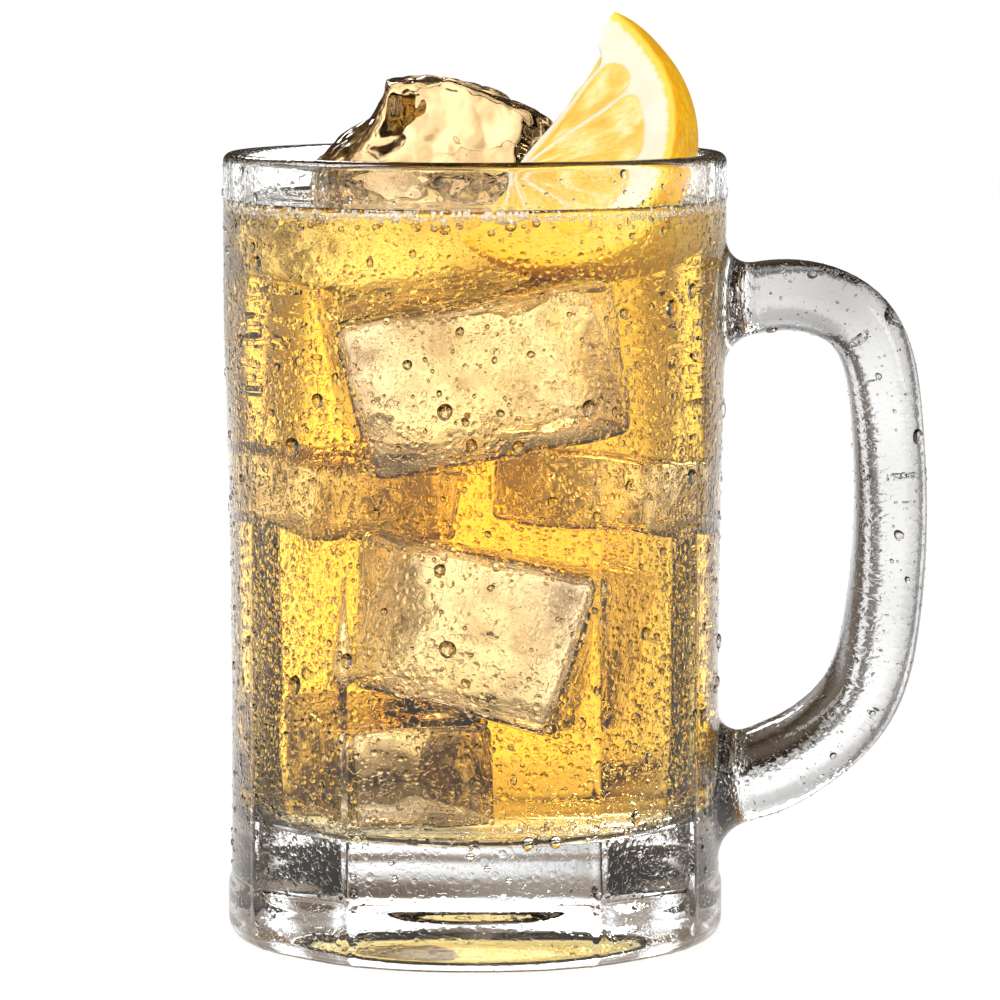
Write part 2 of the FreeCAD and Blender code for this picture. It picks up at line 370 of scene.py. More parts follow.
def mug_rings():
    """The mug without its handle, from the middle of the underside round to the inner floor."""
    # the underside is hollow in the middle, so that the mug stands on a ring
    rings = [around(TURNS, PUNT_R * share, PUNT * (1 - share * share)) for share in np.linspace(0.06, 1, 18)]
    flat = outer_radius(TURNS, FOOT_EDGE) - FOOT_EDGE
    rings += [around(TURNS, PUNT_R + (flat - PUNT_R) * share, 0.0) for share in (0.3, 0.7)]
    rings += [around(TURNS, flat + FOOT_EDGE * s, FOOT_EDGE - FOOT_EDGE * c) for c, s in arc(0, 90, 9)]
    heights = np.r_[
        np.linspace(FOOT_EDGE, FOOT_TOP - 0.5, 7)[1:],
        np.linspace(FOOT_TOP - 0.3, FOOT_TOP + LEDGE + 0.3, 9),
        np.linspace(FOOT_TOP + LEDGE + 0.8, LIP_Z, 108),
    ]
    rings += [around(TURNS, outer_radius(TURNS, z), z) for z in heights]
    top = outer_radius(TURNS, LIP_Z) - LIP
    rings += [around(TURNS, top + LIP * c, LIP_Z + LIP * s) for c, s in arc(0, 90, 8)[1:]]
    outside = len(rings)
    top = inner_radius(LIP_Z) + LIP
    rings += [around(TURNS, top + LIP * c, LIP_Z + LIP * s) for c, s in arc(90, 180, 8)]
    rings += [around(TURNS, inner_radius(z), z) for z in np.linspace(LIP_Z, CORNER_Z, 84)[1:]]
    flat = float(inner_radius(CORNER_Z)) - FLOOR_CORNER
    rings += [
        around(TURNS, flat + FLOOR_CORNER * c, CORNER_Z - FLOOR_CORNER * s) for c, s in arc(0, 90, 12)[1:]
    ]
    rings += [around(TURNS, flat * share, FLOOR_Z) for share in (0.85, 0.65, 0.45, 0.25, 0.1)]
    return rings, outside


def mug_mesh():
    rings, outside = mug_rings()
    verts, faces = lathe(rings, (0, 0, PUNT), (0, 0, FLOOR_Z))
    verts[outside * LATHE :] = waved(verts[outside * LATHE :])

    # take out the wall's faces where the handle's roots stand
    handle = handle_rings()
    centres = np.array([verts[list(f)].mean(0) for f in faces])
    on_wall = (np.linalg.norm(centres[:, :2], axis=1) > WAIST - 1.5) & (centres[:, 0] > 0)
    gone = np.zeros(len(faces), bool)
    for ring in (handle[0], handle[-1]):
        lo, hi = ring.min(0), ring.max(0)
        cz = float(lo[2] + hi[2]) / 2
        hz, hy = float(hi[2] - lo[2]) / 2 + ROOT_ROOM, float(hi[1]) + ROOT_ROOM
        up, side = np.abs((centres[:, 2] - cz) / hz), np.abs(centres[:, 1] / hy)
        gone |= (up**HANDLE_SQUARE + side**HANDLE_SQUARE < 1) & on_wall
    bm = bmesh.new()
    vs = [bm.verts.new(Vector(v) * MM) for v in verts]
    for f, g in zip(faces, gone):
        if not g:
            bm.faces.new([vs[i] for i in f])
    for v in [v for v in bm.verts if not v.link_faces]:
        bm.verts.remove(v)
    hv = [[bm.verts.new(Vector(p) * MM) for p in ring] for ring in handle]
    for a, b in zip(hv, hv[1:]):
        for j in range(HANDLE_AROUND):
            k = (j + 1) % HANDLE_AROUND
            bm.faces.new((a[j], a[k], b[k], b[j]))
    # join the handle to the hole's edge, at the upper and then at the lower root
    open_edges = [e for e in bm.edges if len(e.link_faces) == 1]
    for upper in (True, False):
        some = [e for e in open_edges if (e.verts[0].co.z > HEIGHT / 2 * MM) == upper]
        bmesh.ops.triangle_fill(bm, use_beauty=True, edges=some)
    bmesh.ops.recalc_face_normals(bm, faces=bm.faces)
    return mesh_of(bm, "mug_glass")


# -------- the drink
INTO_WALL = 0.16  # the drink reaches a little into the glass, so that no air lies between them
CLIMB, CLIMB_LONG = 0.9, 0.95  # how high and how far in it creeps up the glass
SURFACE_DROP = 0.25


def drink_mesh():
    turn = TURNS[::2]
    flat, reach = float(inner_radius(CORNER_Z)) - FLOOR_CORNER, FLOOR_CORNER + INTO_WALL
    rings = [around(turn, flat * share, FLOOR_Z - INTO_WALL) for share in (0.1, 0.25, 0.45, 0.65, 0.85)]
    rings += [waved(around(turn, flat + reach * c, CORNER_Z - reach * s)) for c, s in arc(90, 0, 12)]
    for z in np.linspace(CORNER_Z, LEVEL + CLIMB, 80)[1:]:
        rings.append(waved(around(turn, inner_radius(z) + INTO_WALL, z)))
    # the surface is a little uneven
    edge = float(inner_radius(LEVEL))
    for d in (0.25, 0.5, 0.9, 1.4, 2.0, 2.8, 4.0, 6.0, 9, 12, 15, 18, 21, 24, 27, 30, 33, 36):
        ring = around(turn, edge - d, 0.0)
        ripple = (value_noise(ring * [1, 1, 0], 7.0, 9) - 0.5) * 0.35
        ring[:, 2] = LEVEL + CLIMB * math.exp(-d / CLIMB_LONG) - SURFACE_DROP + ripple
        rings.append(ring)
    return mesh_from("drink_liquid", *lathe(rings, (0, 0, FLOOR_Z - INTO_WALL), (0, 0, LEVEL - SURFACE_DROP)))


def ball(level):
    bm = bmesh.new()
    bmesh.ops.create_icosphere(bm, subdivisions=level, radius=1.0)
    v = np.array([p.co[:] for p in bm.verts])
    f = [tuple(p.index for p in q.verts) for q in bm.faces]
    bm.free()
    return v, f


BALLS = {level: ball(level) for level in (1, 2, 3)}


def add_ball(verts, faces, centre, radius, fine, middling, flip, squash=1.0):
    """Adds a ball to two lists; it has more faces over the radii `middling` and `fine`."""
    v, f = BALLS[3 if radius > fine else 2 if radius > middling else 1]
    add_shell(verts, faces, v * radius * [1, 1, squash] + centre, f, flip)


# -------- ice
ICE_CELLS, ICE_ROUND, ICE_TAPER, ICE_DENTS = 30, 0.09, 0.04, 0.8
ICE_WAVES = [(13.0, 3.6, 31.7), (5.0, 1.5, 17.3), (2.0, 0.3, 7.1)]  # length, height, shift
SUNK = [
    # size, turns about x, y, z in degrees, place, how much narrower it is at the back, seed
    ((41, 51, 26), (3, -10.5, 6), (-1.2, 1.5, 95.0), 0.45, 3),
    ((35, 50, 26), (-4, 14.5, -8), (1.2, 0.5, 51.3), 0.3, 7),
    ((22, 42, 18), (2, -3, 8), (-10.5, -1.0, 29.6), 0.2, 9),
    ((22, 22, 12), (4, 6, 30), (-16.0, 11.0, 73.6), 0.0, 13),
    ((24, 24, 12), (-4, 8, -25), (18.0, 9.0, 73.6), 0.0, 17),
]


def ice_block(size, seed, narrow):
    """A melting cube as a closed mesh: rounded edges, slightly bulging faces, hollows and ripples."""
    bm = bmesh.new()
    bmesh.ops.create_cube(bm, size=2.0)
    bmesh.ops.subdivide_edges(bm, edges=bm.edges[:], cuts=ICE_CELLS - 1, use_grid_fill=True)
    half = np.array(size) / 2.0
    q = np.array([v.co[:] for v in bm.verts]) * half
    r = ICE_ROUND * min(size)
    core = np.clip(q, r - half, half - r)
    off = q - core
    length = np.linalg.norm(off, axis=1)
    # out to the rounded box's surface
    out = np.where(length[:, None] > 1e-9, off / np.maximum(length, 1e-9)[:, None], 0)
    q = core + out * r
    q[:, :2] *= 1 + ICE_TAPER * q[:, 2:3] / half[2]
    q[:, 0] *= 1 - narrow * (0.5 + 0.5 * q[:, 1] / half[1])
    waves = [(long, seed + i, 0.5, high, seed * shift) for i, (long, high, shift) in enumerate(ICE_WAVES)]
    push = relief(q, waves)
    q = q + q / np.linalg.norm(q, axis=1)[:, None] * push[:, None] * ICE_DENTS
    for v, c in zip(bm.verts, q):
        v.co = Vector(c) * MM
    return mesh_of(bm, "ice")


def put(me, turn_deg, at):
    """Turns a mesh about Z, then X, then Y (degrees) and moves it to a place in millimetres."""
    rx, ry, rz = (math.radians(v) for v in turn_deg)
    m = Matrix.Translation(Vector(at) * MM) @ Matrix.Rotation(ry, 4, "Y") @ Matrix.Rotation(rx, 4, "X")
    me.transform(m @ Matrix.Rotation(rz, 4, "Z"))
    me.update()
    return me


def keep_inside(me, gap=0.5):
    """Pulls in whatever would reach into the mug's wall or floor."""
    v = points_of(me)
    limit = inner_radius(np.clip(v[:, 2], FLOOR_Z, HEIGHT)) - gap
    drop = np.clip(CORNER_Z - v[:, 2], 0, FLOOR_CORNER)
    in_corner = limit - FLOOR_CORNER + np.sqrt(np.maximum(FLOOR_CORNER**2 - drop**2, 0))
    limit = np.where(v[:, 2] < CORNER_Z, in_corner, limit)
    r = np.linalg.norm(v[:, :2], axis=1)
    v[:, :2] *= np.where(r > limit, limit / np.maximum(r, 1e-6), 1.0)[:, None]
    v[:, 2] = np.maximum(v[:, 2], FLOOR_Z + gap)
    return move_points(me, v)


def top_ice_mesh():
    """The cube that stands out of the drink: the CAD solid made finer, then melted a little."""
    me = remeshed("ice_top", 0.55, 6)
    v = points_of(me)
    # its left side melted to a longer slope, its crown to a rounder one
    up = smoothstep(LEVEL + 5, LEVEL + 17, v[:, 2])
    low = smoothstep(LEVEL - 4, LEVEL + 4, v[:, 2]) * (1 - up)
    left = smoothstep(-13, -21, v[:, 0])
    v[:, 0] += (4.6 * up - 2.6 * low) * left
    v[:, 2] += 2.0 * up * smoothstep(-15, -6, v[:, 0]) * smoothstep(13, 2, v[:, 0])
    push = relief(v, ((9.0, 41, 0.62, 1.9, 0), (3.8, 42, 0.55, 1.25, 0), (1.6, 43, 0.5, 0.42, 0)))
    return keep_inside(shade_smooth(move_points(me, v + normals_of(me) * push[:, None])), 0.4)


# -------- the lemon wedge
LEMON_R = 22.9
LEMON_GAP = 1.3  # between the rind and the mug's wall
LEMON_AT, LEMON_UP = math.radians(6.1), 1.45  # round from the handle towards the back, and over the mouth
LEMON_ROUND = np.array([1.2, 6.0, -1.2])
LEMON_TURN = (32.2, -17.0, -20.5)
CORE_Z = -10.0
MEMBRANES = [5.0, 22.0, 53.0, 87.0, 121.0, 152.0]  # degrees round the core
PITH, PULP_ROUND = 5.1, 3.2  # how deep the pith reaches, and how round the pulp's corners are
CORE_PULL = (0.88, 0.47)  # the way in which the flesh draws back from the cut


def lemon_centre():
    out = float(inner_radius(HEIGHT)) - LEMON_GAP - LEMON_R
    return np.array([out * math.cos(LEMON_AT), out * math.sin(LEMON_AT), HEIGHT + LEMON_UP])


def lemon_axes():
    lean, nod, turn = (math.radians(v) for v in LEMON_TURN)
    m = Matrix.Rotation(turn, 3, "Z") @ Matrix.Rotation(nod, 3, "X") @ Matrix.Rotation(lean, 3, "Y")
    return np.array(m)


def lemon_mesh():
    """The CAD wedge made fine, with its zest, pith, membranes and juice cells worked into the surface."""
    me = remeshed("lemon_wedge", 0.27, 1)
    v, nrm = points_of(me), normals_of(me)
    axes, centre = lemon_axes(), lemon_centre()
    zeros = np.zeros(len(v))
    own = (v - centre) @ axes + LEMON_ROUND
    from_middle = own - LEMON_ROUND
    reach = np.linalg.norm(from_middle, axis=1)
    depth = LEMON_R - reach
    out_dir = from_middle / reach[:, None]
    facing_out = (nrm @ axes * out_dir).sum(1)
    skin = smoothstep(0.9, 0.35, depth) * smoothstep(0.3, 0.75, facing_out)
    # how far a point lies from the core, at which angle, and from the nearest membrane
    x, up = np.hypot(own[:, 0], own[:, 1]), own[:, 2] - CORE_Z
    rho = np.hypot(x, up)
    ang = np.degrees(np.arctan2(x, up))
    wob = (value_noise(own, 5.0, 71) - 0.5) * 3.0
    near = np.full(len(v), 1e9)
    for m in MEMBRANES:
        d = np.radians(np.abs(ang + wob - m))
        near = np.minimum(near, rho * np.sin(np.minimum(d, math.pi / 2)) + np.where(d > 1.57, 50, 0))
    a = depth - PITH + (value_noise(own, 6.0, 72) - 0.5) * 0.7
    b = near - 0.22
    k = PULP_ROUND
    corner = k - np.hypot(np.maximum(k - a, 0), np.maximum(k - b, 0))
    field = np.where((a < k) & (b < k), corner, np.minimum(a, b))
    pulp = smoothstep(-0.12, 0.22, field) * smoothstep(0.5, 1.4, rho) * (1 - skin)
    along_rind = np.degrees(np.arctan2(out_dir[:, 0], out_dir[:, 2])) * 0.4
    teeth = (value_noise(np.c_[along_rind, own[:, 1], zeros], 0.5, 73) - 0.5) * 0.5
    zest = np.maximum(skin, smoothstep(1.75, 1.0, depth + teeth))
    # juice cells: long drops that point at the core
    cells = np.stack([rho / 3.4, np.radians(ang) * 9.0 / 0.75, own[:, 1] / 3.0], -1)
    cell = value_noise(cells, 1.0, 74)
    fine = value_noise(cells * [1.8, 2.1, 1], 1.0, 75)
    push = pulp * (0.10 + 0.38 * (cell - 0.5) + 0.16 * (fine - 0.5)) - (1 - pulp) * (1 - zest) * 0.03
    v = v + nrm * push[:, None]
    # the flesh draws back a little from the cut along the core
    own = (v - centre) @ axes + LEMON_ROUND
    own[:, :2] += (0.9 * pulp * smoothstep(3.0, 0.0, x))[:, None] * CORE_PULL
    v = (own - LEMON_ROUND) @ axes.T + centre
    # the fine tip, which remeshing rounds off
    v = v + np.outer(smoothstep(143.5, 150.5, v[:, 2]), [-1.3, 0.0, 1.5])
    move_points(me, v)
    for name, data in (("zest", zest), ("pulp", pulp), ("cell", cell), ("skin", skin)):
        at = me.attributes.new(name, "FLOAT", "POINT")
        at.data.foreach_set("value", data.astype(np.float32))
    at = me.attributes.new("ray", "FLOAT_VECTOR", "POINT")
    at.data.foreach_set("vector", cells.astype(np.float32).ravel())
    return shade_smooth(me)


# -------- bubbles in the drink, as hollows in it
FOAM_BUBBLES, WALL_BUBBLES, FREE_BUBBLES, FLOOR_BUBBLES = 230, 620, 240, 26
BUBBLE_GAP, BUBBLE_TO_ICE = 0.06, 0.25
FROTH_TRIES, FROTH_SHARE, FROTH_SQUASH = 5200, 0.86, 0.92


def bubble_list(ices, lemon):
    """Places and radii of the bubbles, clear of the ice, the lemon and each other."""
    rng = np.random.default_rng(11)
    found = []
    # the ring of foam at the surface, larger at the front
    for _ in range(FOAM_BUBBLES):
        t = rng.random() * 2 * math.pi
        front = math.exp(-(((math.remainder(t, 2 * math.pi) + 0.12) / 0.35) ** 2))
        r = 0.28 + 0.55 * rng.random() ** 2 + front * 1.25 * rng.random() ** 1.2
        z = LEVEL - 0.5 - r - rng.random() * 1.6
        ring = float(inner_radius(z)) - r - 0.25 - rng.random() * 0.5
        found.append((*on_ring(ring, t, z), r))
    # beads that cling to the wall
    for _ in range(WALL_BUBBLES):
        t = rng.random() * 2 * math.pi
        z = FLOOR_Z + 8 + (LEVEL - FLOOR_Z - 11) * rng.random()
        r = 0.14 + 0.30 * rng.random() ** 3
        found.append((*on_ring(float(inner_radius(z)) - r - 0.3, t, z), r))
    # free beads, rising
    for _ in range(FREE_BUBBLES):
        t = rng.random() * 2 * math.pi
        z = FLOOR_Z + 3 + (LEVEL - FLOOR_Z - 8) * rng.random()
        ring = 33 * math.sqrt(rng.random())
        found.append((*on_ring(ring, t, z), 0.16 + 0.3 * rng.random() ** 2))
    # a short row on the floor's rim
    for _ in range(FLOOR_BUBBLES):
        t = 0.10 + 0.55 * rng.random()
        z = FLOOR_Z + 1.9 + 1.4 * rng.random()
        ring = float(inner_radius(CORNER_Z)) - 4.6 - rng.random()
        found.append((*on_ring(ring, t, z), 0.3 + 0.35 * rng.random()))
    kept = []
    trees = [
        BVHTree.FromPolygons([tuple(p) for p in points_of(me) * MM], faces_of(me)) for me in ices + [lemon]
    ]
    for x, y, z, r in found:
        p = Vector((x, y, z)) * MM
        clear = all(outside(tree, p, (r + BUBBLE_TO_ICE) * MM) for tree in trees)
        if clear and apart((x, y, z), r, kept, gap=BUBBLE_GAP):
            kept.append((x, y, z, r))
    return kept


def outside(tree, p, gap):
    hit, normal, _, dist = tree.find_nearest(p)
    return dist >= gap and (p - hit).dot(normal) > 0


def foam_mesh():
    """Beads of froth where the drink meets the glass, larger at the front, left of the lemon."""
    rng = np.random.default_rng(23)
    kept = []
    for _ in range(FROTH_TRIES):
        t = (rng.random() - 0.5) * 2 * math.pi
        big = math.exp(-(((t + 0.13) / 0.30) ** 2))
        r = 0.15 + 0.24 * rng.random() ** 2 + big * 1.2 * rng.random() ** 2.2
        row = rng.random() ** 1.5
        z = LEVEL - 0.15 + 0.45 * r - 0.9 * row
        p = on_ring(float(inner_radius(LEVEL)) - r - 0.06 - 0.9 * row * rng.random(), t, z)
        if apart(p, r, kept, share=FROTH_SHARE):
            kept.append((*p, r))
    verts, faces = [], []
    for x, y, z, r in kept:
        add_ball(verts, faces, (x, y, z), r, 0.8, 0.26, False, FROTH_SQUASH)
    return mesh_from("froth_beads", verts, faces)


# -------- drops on the outside of the glass
SLOPE_TURN, SLOPE_UP = 0.01, 0.3  # steps in radians and millimetres for the wall's slope
STEEP, BACK = 0.46, -0.1  # a drop's height, and how deep its flat back lies, for a radius of 1
CROWD = math.sqrt(0.8)  # drops keep this share of their radii apart
ROOT_X, ROOT_Y, ROOT_HEIGHTS = 36, 14, ((93, 119), (10, 41))
# each kind of drop: how many, and its least and largest radius
WALL_DROPS = [("big", 46, 0.75, 1.35), ("mid", 420, 0.34, 0.75), ("small", 2350, 0.13, 0.34)]
HANDLE_DROPS = [("big", 9, 0.8, 1.5), ("mid", 60, 0.25, 0.6), ("small", 620, 0.1, 0.26)]
# the large drops on the front, as x across, height, and radius
SEEN_DROPS = [
    (-24.9, 91.7, 1.15), (-29.2, 83.8, 1.55), (-4.6, 90.6, 1.25), (18.1, 90.9, 1.2), (-0.4, 85.3, 0.95),
    (7.0, 85.0, 0.9), (31.7, 106.0, 1.3), (35.2, 108.5, 1.1), (-5.4, 65.2, 1.0), (-4.2, 52.6, 1.35),
    (-19.8, 50.2, 1.2), (-29.0, 45.2, 1.4), (27.6, 53.8, 1.0), (28.2, 33.4, 0.9), (34.7, 78.3, 1.3),
    (12.5, 76.0, 0.9), (-15.5, 74.0, 0.8), (21.0, 42.0, 0.8), (-35.0, 113.0, 1.1), (-38.0, 100.0, 1.0),
    (-24.5, 29.0, 0.9), (8.6, 21.2, 1.0), (12.9, 21.3, 1.0), (26.0, 24.0, 1.1), (-10.5, 98.0, 0.8),
]


def dome(segments, rings):
    """A drop that lies on a wall: unit radius, its flat back a little under the surface."""
    turns = [2 * math.pi * j / segments for j in range(segments)]
    v = [[0, 0, STEEP]]
    for i in range(1, rings + 1):
        a = math.pi / 2 * i / rings
        v += [[math.sin(a) * math.cos(t), math.sin(a) * math.sin(t), STEEP * math.cos(a)] for t in turns]
    base = len(v)
    v += [[0.985 * math.cos(t), 0.985 * math.sin(t), BACK] for t in turns]
    v.append([0, 0, BACK])
    f = [(0, 1 + j, 1 + (j + 1) % segments) for j in range(segments)]
    for a in range(1, 1 + rings * segments, segments):
        for j in range(segments):
            k = (j + 1) % segments
            f.append((a + j, a + segments + j, a + segments + k, a + k))
    f += [(base + (j + 1) % segments, base + j, len(v) - 1) for j in range(segments)]
    return np.array(v), f


DOMES = {"big": dome(20, 5), "mid": dome(12, 3), "small": dome(7, 2)}


def lay_drop(verts, faces, which, place, normal, size, wob, long, spin):
    v, f = DOMES[which]
    side = np.cross([0, 0, 1.0], normal)
    side /= max(np.linalg.norm(side), 1e-9)
    tall = np.cross(normal, side)
    c, s = math.cos(spin), math.sin(spin)
    a, b = side * c + tall * s, tall * c - side * s
    p = v.copy()
    turn = np.arctan2(p[:, 1], p[:, 0])
    p[:, :2] *= (1 + wob * np.sin(2 * turn + spin * 9) + 0.5 * wob * np.sin(3 * turn + spin * 5))[:, None]
    p[:, 1] *= long
    add_shell(verts, faces, place + size * (p[:, :1] * a + p[:, 1:2] * b + p[:, 2:3] * normal), f)


def wall_point(turn, z):
    """A point on the outside of the wall, and the way out from it."""

    def radius(dt, dz):
        return float(outer_radius(turn + dt, z + dz))

    r = radius(0, 0)
    rt = (radius(SLOPE_TURN, 0) - radius(-SLOPE_TURN, 0)) / (2 * SLOPE_TURN)
    rz = (radius(0, SLOPE_UP) - radius(0, -SLOPE_UP)) / (2 * SLOPE_UP)
    e = np.array([math.sin(turn), -math.cos(turn), 0.0])
    t = np.array([math.cos(turn), math.sin(turn), 0.0])
    n = e - t * (rt / r) - np.array([0, 0, rz])
    return e * r + [0, 0, z], n / np.linalg.norm(n)


def near_root(p):
    return p[0] > ROOT_X and abs(p[1]) < ROOT_Y and any(lo < p[2] < hi for lo, hi in ROOT_HEIGHTS)


def drops_mesh(handle):
    rng = np.random.default_rng(5)
    verts, faces = [], []
    placed = []
    for x, z, r in SEEN_DROPS:
        turn = math.asin(max(-1, min(1, x / float(outer_radius(0, z)))))
        p, n = wall_point(turn, z)
        placed.append((*p, r))
        lay_drop(verts, faces, "big", p, n, r, 0.05, 1.12, rng.random() * 0.5 - 0.25)
    for which, count, lo, hi in WALL_DROPS:
        made = 0
        for _ in range(count * 3):
            if made >= count:
                break
            turn = rng.random() * 2 * math.pi
            z = 12 + 116 * rng.random()
            r = lo + (hi - lo) * rng.random() ** 1.7
            # the large drops on the front are the ones in the table
            if which == "big" and abs(math.remainder(turn, 2 * math.pi)) < 1.4:
                continue
            p, n = wall_point(turn, z)
            if near_root(p) or (which != "small" and not apart(p, r, placed, share=CROWD)):
                continue
            if which != "small":
                placed.append((*p, r))
            lay_drop(verts, faces, which, p, n, r, 0.08, 0.9 + 0.4 * rng.random(), rng.random() - 0.5)
            made += 1
    rings = handle[8:-8]
    for which, count, lo, hi in HANDLE_DROPS:
        for _ in range(count):
            i = int(rng.integers(1, len(rings) - 1))
            j = int(rng.integers(0, len(rings[i])))
            p = rings[i][j]
            a = rings[i + 1][j] - rings[i - 1][j]
            b = rings[i][(j + 1) % len(rings[i])] - rings[i][j - 1]
            n = np.cross(a, b)
            n /= max(np.linalg.norm(n), 1e-9)
            if n.dot(p - rings[i].mean(0)) < 0:
                n = -n
            r = lo + (hi - lo) * rng.random() ** 1.5
            lay_drop(verts, faces, which, p, n, r, 0.08, 0.9 + 0.4 * rng.random(), rng.random())
    return mesh_from("dew_drops", verts, faces)


# -------- materials
GLASS_IOR, WATER_IOR, ICE_IOR, SUNK_IOR = 1.5, 1.333, 1.31, 1.14  # sunk ice bends light softly
# every height and length that reaches a Bump node is in metres
DEW_HIGH, DROPLET_HIGH, PRESSED_HIGH = 0.00013, 0.00022, 0.00014
# painted shade for the handle's glass, from its darkened top to its lighter lower part
GRIP_PAINTED_SHADE = [(0.25, (0.25, 0.247, 0.243)), (0.85, (0.60, 0.595, 0.585))]
CLOUDS = [(0.37, (0.36, 0.32, 0.29)), (0.45, (0.74, 0.71, 0.69)), (0.53, (0.97, 0.965, 0.96)), (0.7, 1)]
# juice colours from deep to pale; the palest streaks are also painted highlights on the wet cells
JUICE_AND_SHEEN = [(0.25, (0.90, 0.55, 0.07)), (0.5, (0.95, 0.66, 0.13)), (0.72, (0.98, 0.84, 0.42))]
RIND = [(0.3, (0.88, 0.40, 0.002)), (0.55, (0.95, 0.50, 0.003)), (0.75, (0.98, 0.60, 0.008))]
PITHS = [(0.3, (0.90, 0.82, 0.62)), (0.7, (0.95, 0.90, 0.76))]
# the second colour is painted light: a brighter yellow for the lemon under the drink
CUT_ZEST, UNDER_DRINK_PAINTED_LIGHT = (0.90, 0.70, 0.09), (1.0, 0.86, 0.22)
AMBER, AMBER_DENSITY = (0.982, 0.78, 0.04), 52.0  # what the drink lets through, and how densely
# the second colour is painted light: amber put into the ice over the drink, in place of the drink's light
# seen through it
TOP_TONE, AIR_PAINTED_AMBER, SUNK_TONE = (0.95, 0.92, 0.90), (0.84, 0.60, 0.31), (0.87, 0.77, 0.83)


def rgba(c):
    """A colour from three values, or a grey from one."""
    return (c, c, c, 1) if isinstance(c, (int, float)) else (*c, 1)


class Nodes:
    """A short way to write a node tree. A socket, a node's first output or a value can feed an input."""

    def __init__(self, owner, output="OutputMaterial"):
        owner.use_nodes = True
        self.owner, self.tree = owner, owner.node_tree
        self.tree.nodes.clear()
        self.out = self.add(output)

    def feed(self, socket, v):
        if isinstance(v, bpy.types.Node):
            v = v.outputs[0]
        if isinstance(v, bpy.types.NodeSocket):
            self.tree.links.new(v, socket)
        else:
            socket.default_value = rgba(v) if socket.type == "RGBA" else v

    def add(self, kind, *feeds, **named):
        """A node; a name that starts with _ is a setting of it, and any other name an input."""
        n = self.tree.nodes.new("ShaderNode" + kind)
        for k, v in named.items():
            if k.startswith("_"):
                setattr(n, k[1:], v)
        for socket, v in zip(n.inputs, feeds):
            self.feed(socket, v)
        for k, v in named.items():
            if not k.startswith("_"):
                self.feed(n.inputs[k.replace("_", " ")], v)
        return n

    def maths(self, op, *values, clamp=False):
        return self.add("Math", *values, _operation=op, _use_clamp=clamp).outputs[0]

    def times(self, first, *others):
        for v in others:
            first = self.maths("MULTIPLY", first, v)
        return first

    def ramp(self, value, stops, mode="LINEAR"):
        n = self.add("ValToRGB", value)
        n.color_ramp.interpolation = mode
        el = n.color_ramp.elements
        while len(el) < len(stops):
            el.new(0.5)
        for e, (at, c) in zip(el, stops):
            e.position, e.color = at, rgba(c)
        return n.outputs[0]

    def mix(self, fac, a, b, kind="RGBA", blend="MIX"):
        n = self.add("Mix", fac, _data_type=kind, _blend_type=blend)
        first, out = (6, 2) if kind == "RGBA" else (2, 0)
        self.feed(n.inputs[first], a)
        self.feed(n.inputs[first + 1], b)
        return n.outputs[out]

    def noise(self, at, scale, detail=0.0, roughness=0.5):
        return self.add("TexNoise", Vector=at, Scale=scale, Detail=detail, Roughness=roughness).outputs[0]

    def bump(self, height, strength=1.0):
        return self.add("Bump", Height=height, Strength=strength, Distance=1.0).outputs[0]

    def surface(self, **values):
        """Ends the material with a Principled shader, and gives the material."""
        self.feed(self.out.inputs["Surface"], self.add("BsdfPrincipled", **values))
        return self.owner


def material(name):
    """A new material's nodes, and the place on the object that they read."""
    nt = Nodes(bpy.data.materials.new(name))
    return nt, nt.add("TexCoord").outputs["Object"]


def drop_layer(nt, coords, per_metre, share, height):
    """Height of small domes: one in a share of the cells."""
    vor = nt.add("TexVoronoi", _feature="F1", Vector=coords, Scale=per_metre, Randomness=0.9)
    pick, size, _ = nt.add("SeparateColor", vor.outputs["Color"]).outputs
    here = nt.maths("LESS_THAN", pick, share)
    radius = nt.maths("MULTIPLY_ADD", size, 0.28, 0.26)
    d = nt.maths("DIVIDE", vor.outputs["Distance"], radius)
    dome_high = nt.times(nt.maths("SUBTRACT", 1.0, nt.times(d, d), clamp=True), radius)
    return nt.times(dome_high, here, height / 0.3)


def at_level(nt, co, depth, below, above):
    """One value in the drink and another over it; it changes over the last `depth` millimetres."""
    height = nt.add("SeparateXYZ", co).outputs[2]
    return nt.ramp(nt.times(height, 5.0), [((LEVEL - depth) / 200, below), (LEVEL / 200, above)])


